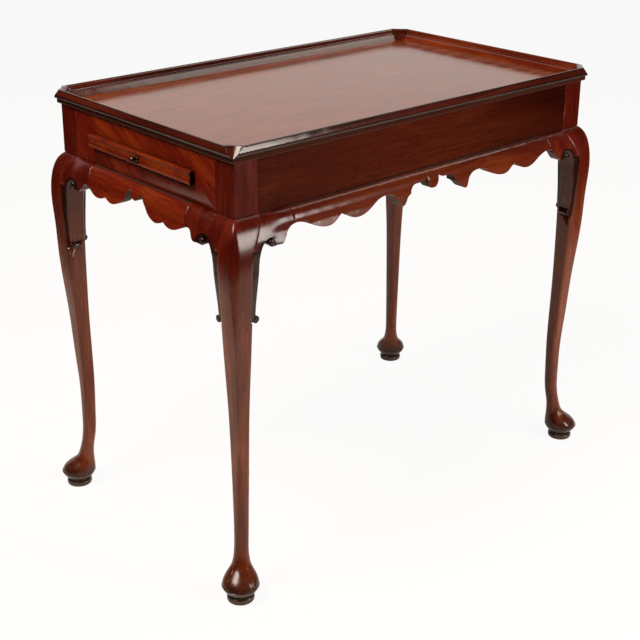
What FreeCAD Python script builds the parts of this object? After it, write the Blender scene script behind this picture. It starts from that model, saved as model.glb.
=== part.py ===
import FreeCAD, Part
import os

# Tray top tea table, in millimetres. The origin is on the floor under the middle of the table,
# X runs along the long sides, Y across, and Z up. Front is -Y and left is -X.

# Overall sizes.
overall_height = 686.0
frieze_length = 730.0
frieze_width = 422.0
frieze_height = 77.0

# Top board and the moulded rim that makes it a tray.
top_thickness = 5.5
top_overhang = 4.5
top_arris = 1.0
rim_height = 17.5
rim_inner_width = 11.0
rim_neck = 1.6
rim_outer_bulge = 9.8
rim_arris_reach = 8.5
rim_arris_width = 1.6
rim_corner_cut = 23.0
corner_hollow_cut = 16.5
corner_hollow_radius = 33.0
mitre_fit = 0.0005

# Legs: a square post behind the frieze, a cabriole knee and shank, and a pad foot.
post_size = 40.0
knee_quirk = 1.5
ankle_height = 92.0
foot_splay = 9.0
pad_radius = 28.0
pad_height = 25.0
disc_radius = 20.5
disc_height = 9.0
disc_round = 3.0
foot_neck_radius = 17.5
pad_seam = 0.6
shank_arris = 1.0

# Frieze rails and their tenons.
rail_thickness = 20.0
tenon_thickness = 8.0
tenon_setback = 6.0
tenon_length = 22.0
tenon_shoulder = 8.0
mortise_spare = 1.0

# Scalloped aprons under the frieze, and the scrolled brackets beside each knee.
apron_back = 8.0
apron_lean = 12.0
apron_depth = 56.0
bracket_reach = 90.0
bracket_back = 11.0
bracket_setback = 0.8
band_setback = 3.2
bracket_drop = 156.0
bead_radius = 5.2
roll_radius = 5.0
roll_back = 5.0
housing_top = 44.0
housing_foot = 152.0
housing_reach = 13.5

# Candle slides, one at each end.
slide_rise = 37.5
slide_width = 240.0
slide_thickness = 10.0
slide_length = 300.0
slide_travel = 200.0
slide_clearance = 0.3
slide_strip_height = 19.0
slide_strip_thickness = 9.0
slide_strip_overlap = 5.0
knob_radius = 4.6
knob_neck_radius = 2.2
knob_projection = 11.0
knob_spigot_radius = 2.0
knob_spigot_length = 20.0
knob_fit = 0.05
stop_pin_radius = 3.0
stop_pin_rise = 8.0
stop_pin_spare = 0.5
guide_width = 24.0
guide_height = 22.0
guide_groove = 8.0
guide_stub = 5.0
bearer_width = 30.0
bearer_height = 18.0
bearer_tenon = 8.0

# Glue blocks.
block_size = 14.0
block_length = 50.0
apron_block_thickness = 12.0

# Worked out from the sizes above.
half_length = frieze_length / 2
half_width = frieze_width / 2
top_underside = overall_height - rim_height - top_thickness
tray_floor = overall_height - rim_height
frieze_bottom = top_underside - frieze_height
slide_middle = frieze_bottom + slide_rise

UP = FreeCAD.Vector(0, 0, 1)
ORIGIN = FreeCAD.Vector(0, 0, 0)
SIDES_X = {"left": -1, "right": 1}
SIDES_Y = {"front": -1, "back": 1}

os.makedirs("parts", exist_ok=True)


def save(shape, name):
    shape.exportStep("parts/" + name + ".step")


def box(x, y, z):
    """A box from three (low, high) pairs."""
    low = FreeCAD.Vector(min(x), min(y), min(z))
    return Part.makeBox(abs(x[1] - x[0]), abs(y[1] - y[0]), abs(z[1] - z[0]), low)


def mirrored(shape, x_side, y_side):
    """A shape made at the back right corner, carried to the corner with these signs."""
    if x_side < 0:
        shape = shape.mirror(ORIGIN, FreeCAD.Vector(1, 0, 0))
    if y_side < 0:
        shape = shape.mirror(ORIGIN, FreeCAD.Vector(0, 1, 0))
    return shape


def curve(points):
    """A smooth edge through the points, or a straight one through two."""
    if len(points) == 2:
        return Part.makeLine(points[0], points[1])
    spline = Part.BSplineCurve()
    spline.interpolate(points)
    return spline.toShape()


def closed_face(runs):
    """A flat face whose border is the runs of points, each run smooth and meeting the next at a corner."""
    edges = []
    for run in runs:
        edges.append(curve(run))
    return Part.Face(Part.Wire(edges))


def revolved(profile):
    """A solid of revolution about Z from (radius, height) runs."""
    runs = []
    for run in profile:
        runs.append([FreeCAD.Vector(radius, 0, height) for radius, height in run])
    return closed_face(runs).revolve(ORIGIN, UP, 360)


# ---------------------------------------------------------------- top board

def make_top_board():
    x_reach = half_length + top_overhang
    y_reach = half_width + top_overhang
    board = box((-x_reach, x_reach), (-y_reach, y_reach), (top_underside, tray_floor))
    lower_edges = []
    for edge in board.Edges:
        if abs(edge.CenterOfMass.z - top_underside) < 0.01:
            lower_edges.append(edge)
    return board.makeFillet(top_arris, lower_edges)


save(make_top_board(), "top_board")


# ---------------------------------------------------------------- rim moulding

def rim_outer_runs():
    """Outside of the rim as (reach beyond the frieze, height above the tray floor), bottom to top."""
    neck = [(top_overhang, 0.0), (top_overhang, rim_neck)]
    bulge = [(top_overhang, rim_neck), (rim_outer_bulge - 2.4, rim_neck + 0.9),
             (rim_outer_bulge - 0.4, rim_neck + 3.8), (rim_outer_bulge, rim_neck + 7.2),
             (rim_outer_bulge - 0.9, rim_neck + 10.8), (rim_arris_reach - 0.6, rim_height - 2.4)]
    lip = [(rim_arris_reach - 0.6, rim_height - 2.4), (rim_arris_reach - 0.5, rim_height - 1.2),
           (rim_arris_reach, rim_height)]
    return [neck, bulge, lip]


def rim_inner_runs():
    """Inside of the rim, top to bottom: a cove under the arris, a bead, and a sloping ogee foot."""
    arris = rim_arris_reach - rim_arris_width
    cove = [(arris, rim_height), (arris - 2.9, rim_height - 2.6), (arris - 4.2, rim_height - 6.4)]
    bead = [(arris - 4.2, rim_height - 6.4), (arris - 6.4, rim_height - 6.6), (arris - 6.8, rim_height - 8.6)]
    foot = [(arris - 6.8, rim_height - 8.6), (arris - 10.5, rim_height - 10.2),
            (arris - 14.6, 3.4), (-rim_inner_width, 0.0)]
    return [cove, bead, foot]


def rim_prism(runs, half_span, across, angle):
    """Closes a run list across the table, mirrored about the middle, and runs it along the other way."""
    def place(side, reach, height):
        return FreeCAD.Vector(side * (across + reach), -half_span, tray_floor + height)

    border = []
    for run in runs:
        border.append([place(1, reach, height) for reach, height in run])
    last = runs[-1][-1]
    first = runs[0][0]
    border.append([place(1, *last), place(-1, *last)])
    for run in reversed(runs):
        border.append([place(-1, reach, height) for reach, height in reversed(run)])
    border.append([place(-1, *first), place(1, *first)])
    solid = closed_face(border).extrude(FreeCAD.Vector(0, 2 * half_span, 0))
    return solid.rotate(ORIGIN, UP, angle)


def make_rim():
    span = frieze_length
    outside = rim_prism(rim_outer_runs(), span, half_length, 0)
    outside = outside.common(rim_prism(rim_outer_runs(), span, half_width, 90))

    inside_runs = rim_inner_runs()
    hollow = rim_prism(inside_runs, span, half_length, 0)
    hollow = hollow.common(rim_prism(inside_runs, span, half_width, 90))
    # The canted corners: the same inside moulding, set across the corner.
    diagonal = 0.5 ** 0.5
    cant = (half_length + half_width + 2 * rim_arris_reach - rim_corner_cut) * diagonal - rim_arris_reach
    for angle in (45, -45):
        hollow = hollow.common(rim_prism(inside_runs, span, cant, angle))
    return outside.cut(hollow)


def corner_hollow():
    """The tapering hollow cut into the outside of each rim corner: a point at the foot, wide at the top."""
    diagonal = 0.5 ** 0.5
    chord_half = corner_hollow_cut * diagonal
    # How far the top circle's centre stands outside the corner, along the diagonal.
    top_out = (corner_hollow_radius ** 2 - chord_half ** 2) ** 0.5 - chord_half
    foot_radius = 1.0
    foot_reach = rim_arris_reach - 1.0
    circles = []
    for radius, out, reach, height in ((foot_radius, foot_radius, foot_reach, rim_neck),
                                       (corner_hollow_radius, top_out, rim_arris_reach, rim_height)):
        along = reach + out * diagonal
        centre = FreeCAD.Vector(half_length + along, half_width + along, tray_floor + height)
        circles.append(Part.Wire(Part.makeCircle(radius, centre, UP)))
    return Part.makeLoft(circles, True, True)


def corner_wedge():
    """The part of the rim that belongs to the back right corner, between its two mitres."""
    mitre_slope = 2 ** 0.5 - 1
    x_out = half_length + rim_arris_reach
    y_out = half_width + rim_arris_reach
    inside = rim_inner_width + rim_arris_reach + 20.0
    outside = 60.0
    points = [
        FreeCAD.Vector(x_out - rim_corner_cut + outside * mitre_slope, y_out + outside, 0),
        FreeCAD.Vector(x_out - rim_corner_cut - inside * mitre_slope, y_out - inside, 0),
        FreeCAD.Vector(x_out - inside, y_out - rim_corner_cut - inside * mitre_slope, 0),
        FreeCAD.Vector(x_out + outside, y_out - rim_corner_cut + outside * mitre_slope, 0),
        FreeCAD.Vector(x_out + outside, y_out + outside, 0),
    ]
    return Part.Face(Part.makePolygon(points + [points[0]])).extrude(UP * overall_height * 2)


def save_rim():
    """Four straight mouldings, mitred to four short corner pieces that are hollowed outside."""
    rim = make_rim()
    wedge = corner_wedge()
    corner = rim.common(wedge).cut(corner_hollow())
    wedges = []
    for y_name, y_side in SIDES_Y.items():
        for x_name, x_side in SIDES_X.items():
            save(mirrored(corner, x_side, y_side), "rim_corner_" + y_name + "_" + x_name)
            wedges.append(mirrored(wedge, x_side, y_side))
    # The mitres run through the edges between the straight mouldings and the canted ones.
    rim = rim.cut(wedges, mitre_fit)
    ends = {"left": (-1, 0), "right": (1, 0), "front": (0, -1), "back": (0, 1)}
    for solid in rim.Solids:
        centre = solid.CenterOfMass
        for name, (x_side, y_side) in ends.items():
            if centre.x * x_side > half_length / 2 or centre.y * y_side > half_width / 2:
                save(solid, "rim_" + name)


save_rim()


# ---------------------------------------------------------------- legs

# Knee stations: drop below the frieze, reach outward and inward of the frieze corner each way,
# and the radius on the corners of the section. The outermost corner keeps that radius on the knee
# and then closes to a crisp arris down the shank.
knee_stations = [
    (0.0, -knee_quirk, post_size, 1.0),
    (7.0, 7.0, post_size - 1.0, 3.0),
    (15.0, 12.2, post_size - 3.0, 6.0),
    (26.0, 16.4, post_size - 7.0, 9.0),
    (41.0, 19.8, 28.0, 12.0),
    (61.0, 21.5, 23.5, 13.0),
    (86.0, 20.8, 20.8, 12.0),
    (116.0, 18.4, 19.2, 9.0),
    (159.0, 15.3, 17.8, 6.0),
]
# Shank stations: share of the way from the ankle up to the end of the knee, then as above.
shank_stations = [
    (0.82, 11.5, 16.9, 4.5),
    (0.65, 7.4, 16.7, 4.0),
    (0.46, 4.3, 17.7, 5.0),
    (0.28, 2.7, 18.5, 6.5),
    (0.13, 2.7, 18.0, 8.0),
    (0.0, 4.6, 16.5, 10.0),
]
# Foot stations: share of the way from the pad's edge up to the ankle, and the sides of the section
# measured from the middle of the foot.
foot_stations = [
    (0.61, 0.0, -22.9, 11.3),
    (0.37, 6.7, -23.8, 15.0),
    (0.22, 17.9, -26.0, 21.6),
    (0.08, 25.6, -27.6, 26.4),
]


def rounded_square(outward, inward, radius, height, arris):
    """A square section on the diagonal through the frieze corner; its outermost corner is the arris."""
    low = -inward
    high = outward
    corners = [(low, low, 1, 1, radius), (high, low, -1, 1, radius),
               (high, high, -1, -1, arris), (low, high, 1, -1, radius)]
    edges = []
    ends = []
    for index, (x, y, x_in, y_in, radius) in enumerate(corners):
        bend = radius * (1 - 0.5 ** 0.5)
        along_x = FreeCAD.Vector(x + x_in * radius, y, height)
        middle = FreeCAD.Vector(x + x_in * bend, y + y_in * bend, height)
        along_y = FreeCAD.Vector(x, y + y_in * radius, height)
        first, last = (along_y, along_x) if index % 2 == 0 else (along_x, along_y)
        ends.append((first, middle, last))
    for index, (first, middle, last) in enumerate(ends):
        edges.append(Part.Arc(first, middle, last).toShape())
        following = ends[(index + 1) % 4][0]
        edges.append(Part.makeLine(last, following))
    return Part.Wire(edges)


def leg_stations():
    """Every section of the leg, top to bottom, as (height, outward, inward, radius, arris)."""
    rows = []
    for drop, outward, inward, radius in knee_stations:
        rows.append((frieze_bottom - drop, outward, inward, radius, radius))
    knee_end = rows[-1][0]
    rows[-1] = (*rows[-1][:4], 2 * shank_arris)
    for share, outward, inward, radius in shank_stations:
        height = ankle_height + share * (knee_end - ankle_height)
        # The arris fades out into the round of the ankle.
        rows.append((height, outward, inward, radius, shank_arris if share > 0.4 else radius))
    for share, outer, inner, radius in foot_stations:
        height = pad_height + share * (ankle_height - pad_height)
        rows.append((height, foot_splay + outer, -foot_splay - inner, radius, radius))
    # The last section lies just inside the pad's round edge, and is round but for a hair.
    reach = pad_radius - pad_seam
    corner = reach - 0.1
    rows.append((pad_height, foot_splay + reach, reach - foot_splay, corner, corner))
    return rows


def make_foot():
    """The turned part of the foot: the underside of the pad, a neck, and the disc it stands on."""
    neck_low = disc_height + 0.8
    foot = revolved([
        [(0, 0), (disc_radius - disc_round, 0)],
        [(disc_radius - disc_round, 0), (disc_radius - disc_round * 0.29, disc_round * 0.29),
         (disc_radius, disc_round)],
        [(disc_radius, disc_round), (disc_radius, disc_height - 2.0)],
        [(disc_radius, disc_height - 2.0), (disc_radius - 0.9, disc_height - 0.4),
         (foot_neck_radius, neck_low)],
        [(foot_neck_radius, neck_low), (foot_neck_radius, neck_low + 1.4)],
        [(foot_neck_radius, neck_low + 1.4), (pad_radius - 4.0, pad_height - 7.0), (pad_radius, pad_height)],
        [(pad_radius, pad_height), (0, pad_height)],
        [(0, pad_height), (0, 0)],
    ])
    return foot.translate(FreeCAD.Vector(foot_splay, foot_splay, 0))


def tenon(spare):
    """A long rail's tenon as it lies in the corner's own frame, with room left at its end."""
    x_shoulder = -post_size
    x_end = x_shoulder + tenon_length + spare
    y_face = -tenon_setback
    return box((x_shoulder, x_end), (y_face - tenon_thickness, y_face),
               (frieze_bottom + tenon_shoulder, top_underside - tenon_shoulder))


def swapped(shape):
    """The same shape for the other side of the corner: X and Y change places."""
    return shape.mirror(ORIGIN, FreeCAD.Vector(1, -1, 0))


def make_leg():
    """One leg in its corner's own frame, where the frieze corner is X = Y = 0 and outward is plus."""
    sections = []
    for height, outward, inward, radius, arris in leg_stations():
        sections.append(rounded_square(outward, inward, radius, height, arris))
    leg = Part.makeLoft(sections, True, False)
    post = box((-post_size, 0), (-post_size, 0), (frieze_bottom, top_underside))
    leg = leg.fuse([post, make_foot()])
    mortise = tenon(mortise_spare)
    leg = leg.cut([mortise, swapped(mortise)])
    # Flats on the two inner faces of the knee, where the brackets are let in.
    housing = box((-post_size - 20, -housing_reach), (-bracket_back, post_size),
                  (frieze_bottom - housing_foot, frieze_bottom - housing_top))
    return leg.cut([housing, swapped(housing)]).removeSplitter()


leg_at_corner = make_leg()
to_corner = FreeCAD.Vector(half_length, half_width, 0)
for y_name, y_side in SIDES_Y.items():
    for x_name, x_side in SIDES_X.items():
        save(mirrored(leg_at_corner.translated(to_corner), x_side, y_side), "leg_" + y_name + "_" + x_name)


# ---------------------------------------------------------------- aprons

# The face of an apron, from the frieze down: (reach beyond the frieze, drop). It swells under the
# frieze, hollows a little, and flares towards the lower edge.
apron_face = [
    (-knee_quirk, 0.0), (6.5, 2.6), (12.2, 8.0), (15.0, 14.0), (15.9, 20.0),
    (16.0, 27.0), (17.8, 34.0), (20.2, 41.0), (21.0, 48.0), (20.8, apron_depth),
]

# Lower edge of half an apron, from the middle outwards: (share of the half length, drop). Each run
# is smooth and meets the next at a sharp cusp or step.
long_apron_edge = [
    [(0.0, 28.5), (0.029, 26.0), (0.040, 18.6), (0.045, 10.2)],
    [(0.045, 10.2), (0.081, 15.4), (0.132, 15.2), (0.158, 17.2), (0.170, 21.8), (0.172, 28.0)],
    [(0.172, 28.0), (0.195, 31.0)],
    [(0.195, 31.0), (0.212, 35.6), (0.230, 40.4), (0.248, 42.2), (0.266, 38.6), (0.285, 30.9),
     (0.313, 22.8), (0.357, 19.9), (0.404, 21.6), (0.449, 28.2), (0.511, 35.8), (0.571, 38.5),
     (0.620, 35.8), (0.655, 30.6), (0.679, 27.0)],
    [(0.679, 27.0), (0.712, 33.0), (0.744, 37.2), (0.787, 38.7), (0.835, 36.2), (0.895, 29.2),
     (0.939, 24.0), (0.972, 21.9), (1.0, 22.4)],
]
end_apron_edge = [
    [(0.0, 24.1), (0.057, 21.0), (0.095, 13.5)],
    [(0.095, 13.5), (0.118, 11.2), (0.151, 15.0), (0.193, 24.0), (0.248, 31.6), (0.317, 37.0),
     (0.392, 40.3), (0.450, 41.6), (0.529, 40.1), (0.601, 36.5)],
    [(0.601, 36.5), (0.668, 39.9), (0.760, 41.5), (0.846, 39.6), (0.940, 34.6), (1.0, 31.6)],
]


def apron_section(x):
    """The apron's cross-section as a closed face standing across X; its back leans outwards."""
    face_points = []
    for reach, drop in apron_face:
        face_points.append(FreeCAD.Vector(x, reach, -drop))
    top_back = FreeCAD.Vector(x, -apron_back, 0)
    low_back = FreeCAD.Vector(x, apron_lean - apron_back, -apron_depth)
    return closed_face([face_points, [face_points[-1], low_back], [low_back, top_back],
                        [top_back, face_points[0]]])


def make_apron(half_span, edge_runs):
    """One apron, centred on X = 0, with the frieze's face at Y = 0 and its underside at Z = 0."""
    body = apron_section(-half_span)
    body = body.extrude(FreeCAD.Vector(2 * half_span, 0, 0))
    depth_out = 60.0

    def place(share, drop, side):
        return FreeCAD.Vector(side * share * half_span, -depth_out, -drop)

    border = []
    for run in edge_runs:
        border.append([place(share, drop, 1) for share, drop in run])
    corner = FreeCAD.Vector(half_span, -depth_out, -edge_runs[-1][-1][1])
    high_right = FreeCAD.Vector(half_span, -depth_out, 1.0)
    high_left = FreeCAD.Vector(-half_span, -depth_out, 1.0)
    border.append([corner, high_right])
    border.append([high_right, high_left])
    border.append([high_left, FreeCAD.Vector(-half_span, -depth_out, corner.z)])
    for run in reversed(edge_runs):
        border.append([place(share, drop, -1) for share, drop in reversed(run)])
    outline = closed_face(border).extrude(FreeCAD.Vector(0, 2 * depth_out, 0))
    return body.common(outline)


long_apron = make_apron(half_length - bracket_reach, long_apron_edge)
end_apron = make_apron(half_width - bracket_reach, end_apron_edge)
apron_turns = {"back": (0, long_apron, half_width), "left": (90, end_apron, half_length),
               "front": (180, long_apron, half_width), "right": (270, end_apron, half_length)}
for name, (turn, apron, reach) in apron_turns.items():
    placed = apron.translated(FreeCAD.Vector(0, reach, frieze_bottom))
    save(placed.rotate(ORIGIN, UP, turn), "apron_" + name)


# ---------------------------------------------------------------- knee brackets

# The bracket's lower edge next to the apron: (distance inwards from the apron's end, drop). It
# starts level with the apron and ends at the tip of a small ear.
long_ear = [(0.0, long_apron_edge[-1][-1][1]), (6.5, 24.8), (11.4, 29.2), (15.8, 35.0),
            (19.8, 40.6), (24.5, 44.4)]
end_ear = [(0.0, end_apron_edge[-1][-1][1]), (5.5, 30.0), (10.5, 31.2), (14.4, 35.0),
           (18.0, 40.2), (23.5, 44.6)]


def bracket_section(distance, mix):
    """A cross-section of the bracket at a distance along the rail from the frieze corner."""
    face = [FreeCAD.Vector(-distance, reach, -drop) for reach, drop in bracket_face(mix)]
    # The back is upright beside the leg and leans like the apron's at the other end.
    apron_low = apron_lean - apron_back
    top_back = FreeCAD.Vector(-distance, -bracket_back * (1 - mix) - apron_back * mix, 0)
    mid_back = FreeCAD.Vector(-distance, -bracket_back * (1 - mix) + apron_low * mix, -apron_depth)
    low_back = FreeCAD.Vector(-distance, mid_back.y, -bracket_drop)
    return Part.Wire([curve(face), curve([face[-1], low_back]), curve([low_back, mid_back]),
                      curve([mid_back, top_back]), curve([top_back, face[0]])])


def bracket_face(mix):
    """Face of the bracket between the knee's (mix 0) and the apron's (mix 1)."""
    knee = [(outward - bracket_setback, drop) for drop, outward, inward, radius in knee_stations]
    knee_line = Part.BSplineCurve()
    knee_line.interpolate([FreeCAD.Vector(reach, 0, drop) for reach, drop in knee])
    low_reach = apron_face[-1][0]
    apron_points = apron_face + [(low_reach, 80.0), (low_reach, knee[-1][1])]
    apron_line = Part.BSplineCurve()
    apron_line.interpolate([FreeCAD.Vector(reach, 0, drop) for reach, drop in apron_points])
    rows = [(-knee_quirk - bracket_setback * (1 - mix), 0.0)]
    for drop in (2.6, 8.0, 14.0, 20.0, 27.0, 34.0, 41.0, 48.0, 60.0, 80.0, 110.0, bracket_drop):
        plane = Part.Plane(FreeCAD.Vector(0, 0, drop), UP)
        # Below the arch the band down the leg lies back from the leg's face.
        band_share = min(max((drop - 34.0) / 26.0, 0.0), 1.0)
        knee_reach = knee_line.intersect(plane)[0][0].X - band_share * (band_setback - bracket_setback)
        apron_reach = apron_line.intersect(plane)[0][0].X
        rows.append((knee_reach * (1 - mix) + apron_reach * mix, drop))
    return rows


def bracket_outline(ear):
    """The bracket seen square on: ear, volute bead, arch, a band down the leg and a small roll."""
    depth_out = 80.0

    def place(distance, drop):
        return FreeCAD.Vector(-distance, -depth_out, -drop)

    ear = [(bracket_reach - inwards, drop) for inwards, drop in ear]
    inside_leg = housing_reach - 1.5
    bead = (48.5, 39.6)
    roll = (23.2, bracket_drop - 10.0)
    roll_end = (roll[0] - 3.6, roll[1] + 2.8)
    runs = [
        [(inside_leg, -1.0), (bracket_reach, -1.0)],
        [(bracket_reach, -1.0), ear[0]],
        ear,
        [ear[-1], (bead[0] + 7.6, ear[-1][1] - 0.4)],
        [(bead[0] + 7.6, ear[-1][1] - 0.4), (bead[0] + 3.6, bead[1] + bead_radius),
         (bead[0] - 0.4, bead[1] + bead_radius), (bead[0] - bead_radius, bead[1] - 0.2),
         (bead[0] - 1.2, bead[1] - 4.6), (bead[0] + 3.4, bead[1] - 5.4)],
        [(bead[0] + 3.4, bead[1] - 5.4), (bead[0] + 3.0, bead[1] - 6.6)],
        [(bead[0] + 3.0, bead[1] - 6.6), (45.0, 32.4), (39.6, 34.6), (34.0, 39.6), (30.0, 47.2),
         (27.4, 58.0), (26.2, 73.0), (24.6, 93.0), (23.2, 114.0), (roll[0] - 0.8, roll[1] - 5.2)],
        [(roll[0] - 0.8, roll[1] - 5.2), (roll[0] + 3.0, roll[1] - 3.8),
         (roll[0] + roll_radius, roll[1]), (roll[0] + 0.6, roll[1] + roll_radius), roll_end],
        [roll_end, (inside_leg, roll_end[1])],
        [(inside_leg, roll_end[1]), (inside_leg, -1.0)],
    ]
    border = []
    for run in runs:
        border.append([place(distance, drop) for distance, drop in run])
    return closed_face(border).extrude(FreeCAD.Vector(0, 2 * depth_out, 0))


def make_bracket(ear):
    """One bracket in the corner's own frame, on the long side, cut to fit against the leg."""
    stations = ((11.0, 0.0), (30.0, 0.0), (44.0, 0.2), (62.0, 0.8), (78.0, 1.0), (bracket_reach, 1.0))
    sections = [bracket_section(distance, mix) for distance, mix in stations]
    body = Part.makeLoft(sections, True, False)
    body = body.common(bracket_outline(ear))
    body = body.translated(FreeCAD.Vector(0, 0, frieze_bottom))
    below_frieze = box((-200, 100), (-100, 100), (frieze_bottom - 200, frieze_bottom))
    # The roll at the band's foot is only as deep as the front of the band.
    roll_top = frieze_bottom - bracket_drop + 2 * roll_radius + 6.0
    behind_roll = box((-200, 100), (-100, -roll_back), (roll_top - 100, roll_top))
    pieces = body.common(below_frieze).cut([leg_at_corner, behind_roll]).Solids
    return max(pieces, key=lambda piece: piece.Volume)


long_bracket = make_bracket(long_ear)
end_bracket = swapped(make_bracket(end_ear))
for y_name, y_side in SIDES_Y.items():
    for x_name, x_side in SIDES_X.items():
        corner = y_name + "_" + x_name
        for bracket, ending in ((long_bracket, "_long"), (end_bracket, "_end")):
            placed = bracket.translated(to_corner)
            save(mirrored(placed, x_side, y_side), "knee_bracket_" + corner + ending)


# ---------------------------------------------------------------- frieze rails

slide_top = slide_middle + slide_thickness / 2
slide_base = slide_middle - slide_thickness / 2
rail_inner_x = half_length - rail_thickness
rail_inner_y = half_width - rail_thickness
guide_inner = slide_width / 2 + slide_clearance - guide_groove
guide_outer = guide_inner + guide_width
guide_base = slide_middle - guide_height / 2
guide_top = slide_middle + guide_height / 2


def bearer_box():
    reach = rail_inner_y + bearer_tenon
    return box((-bearer_width / 2, bearer_width / 2), (-reach, reach), (guide_base - bearer_height, guide_base))


def guide_box(y_side):
    reach = rail_inner_x + guide_stub
    return box((-reach, reach), (y_side * guide_inner, y_side * guide_outer), (guide_base, guide_top))


def slot_box():
    """The opening in an end rail that the slide runs through, on the right."""
    room = slide_width / 2 + slide_clearance
    return box((rail_inner_x - 1, half_length + 1), (-room, room),
               (slide_base - slide_clearance, slide_top + slide_clearance))


def make_long_rail():
    """The back rail, tenoned into both posts."""
    reach = half_length - post_size
    rail = box((-reach, reach), (rail_inner_y, half_width), (frieze_bottom, top_underside))
    right_tenon = tenon(0.0).translated(to_corner)
    rail = rail.fuse([right_tenon, mirrored(right_tenon, -1, 1)])
    return rail.cut(bearer_box()).removeSplitter()


def make_end_rail():
    """The right rail, tenoned into both posts and slotted for the slide."""
    reach = half_width - post_size
    rail = box((rail_inner_x, half_length), (-reach, reach), (frieze_bottom, top_underside))
    back_tenon = swapped(tenon(0.0)).translated(to_corner)
    rail = rail.fuse([back_tenon, mirrored(back_tenon, 1, -1)])
    return rail.cut([slot_box(), guide_box(1), guide_box(-1)]).removeSplitter()


long_rail = make_long_rail()
end_rail = make_end_rail()
for name, side in SIDES_Y.items():
    save(mirrored(long_rail, 1, side), "rail_" + name)
for name, side in SIDES_X.items():
    save(mirrored(end_rail, side, 1), "rail_" + name)


# ---------------------------------------------------------------- candle slides

strip_back = half_length + slide_clearance
strip_front = strip_back + slide_strip_thickness
stop_pin_x = rail_inner_x - slide_travel - stop_pin_spare - stop_pin_radius


def make_slide_strip():
    """The moulded front of the right slide: a bead above and below a flat with a quirk each side."""
    half = slide_strip_height / 2
    face = strip_front
    profile = [
        [(strip_back, -half), (face - 3.6, -half)],
        [(face - 3.6, -half), (face - 0.5, -half + 1.0), (face - 0.3, -half + 3.4), (face - 2.4, -half + 4.6)],
        [(face - 2.4, -half + 4.6), (face - 1.2, -half + 5.4)],
        [(face - 1.2, -half + 5.4), (face - 1.2, half - 5.8)],
        [(face - 1.2, half - 5.8), (face - 2.4, half - 5.0)],
        [(face - 2.4, half - 5.0), (face - 0.3, half - 3.6), (face - 0.8, half - 0.9), (face - 4.0, half)],
        [(face - 4.0, half), (strip_back, half)],
        [(strip_back, half), (strip_back, -half)],
    ]
    reach = slide_width / 2 + slide_strip_overlap
    runs = []
    for run in profile:
        runs.append([FreeCAD.Vector(x, -reach, slide_middle + z) for x, z in run])
    strip = closed_face(runs).extrude(FreeCAD.Vector(0, 2 * reach, 0))
    return strip.cut(knob_hole())


def knob_hole():
    depth = strip_front - knob_spigot_length
    return Part.makeCylinder(knob_spigot_radius + knob_fit, knob_spigot_length + 5,
                             FreeCAD.Vector(depth, 0, slide_middle), FreeCAD.Vector(1, 0, 0))


def make_slide_board():
    half = slide_width / 2
    board = box((strip_back - slide_length, strip_back), (-half, half), (slide_base, slide_top))
    pin_hole = Part.makeCylinder(stop_pin_radius, slide_thickness, FreeCAD.Vector(stop_pin_x, 0, slide_base), UP)
    return board.cut([knob_hole(), pin_hole])


def make_stop_pin():
    return Part.makeCylinder(stop_pin_radius, slide_thickness + stop_pin_rise,
                             FreeCAD.Vector(stop_pin_x, 0, slide_base), UP)


def make_knob():
    """A small turned knob with a collar, a neck, a flattened ball and a spigot, on the X axis."""
    face = -1.2
    ball = knob_radius
    crown = knob_projection
    knob = revolved([
        [(0, -knob_spigot_length + 1), (knob_spigot_radius, -knob_spigot_length + 1)],
        [(knob_spigot_radius, -knob_spigot_length + 1), (knob_spigot_radius, face)],
        [(knob_spigot_radius, face), (ball - 0.6, face)],
        [(ball - 0.6, face), (ball - 0.2, face + 0.9), (ball - 1.2, face + 1.8)],
        [(ball - 1.2, face + 1.8), (knob_neck_radius, face + 2.6), (knob_neck_radius + 0.3, face + 3.4)],
        [(knob_neck_radius + 0.3, face + 3.4), (ball - 0.9, crown - 6.4), (ball, crown - 4.0),
         (ball - 1.1, crown - 1.3), (0, crown)],
        [(0, crown), (0, -knob_spigot_length + 1)],
    ])
    knob = knob.rotate(ORIGIN, FreeCAD.Vector(0, 1, 0), 90)
    return knob.translate(FreeCAD.Vector(strip_front, 0, slide_middle))


def make_guide():
    """The back guide: one grooved strip that carries an edge of both slides."""
    groove_floor = slide_width / 2 + slide_clearance
    groove = box((-half_length, half_length), (guide_inner - 1, groove_floor),
                 (slide_base - slide_clearance, slide_top + slide_clearance))
    return guide_box(1).cut(groove)


slide_pieces = {
    "slide_board_": make_slide_board(),
    "slide_strip_": make_slide_strip(),
    "slide_stop_": make_stop_pin(),
    "slide_knob_": make_knob(),
}
for name, side in SIDES_X.items():
    for prefix, piece in slide_pieces.items():
        save(mirrored(piece, side, 1), prefix + name)
guide = make_guide()
for name, side in SIDES_Y.items():
    save(mirrored(guide, 1, side), "slide_guide_" + name)
save(bearer_box(), "slide_bearer")


# ---------------------------------------------------------------- glue blocks

def make_top_blocks():
    """Blocks glued in the angle between the rails and the top board."""
    blocks = []
    half = block_length / 2
    high = (top_underside - block_size, top_underside)
    for place in (-half_length * 0.55, 0.0, half_length * 0.55):
        for side in (-1, 1):
            blocks.append(box((place - half, place + half),
                              (side * (rail_inner_y - block_size), side * rail_inner_y), high))
    for place in (-half_width * 0.4, half_width * 0.4):
        for side in (-1, 1):
            blocks.append(box((side * (rail_inner_x - block_size), side * rail_inner_x),
                              (place - half, place + half), high))
    return Part.makeCompound(blocks)


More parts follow.
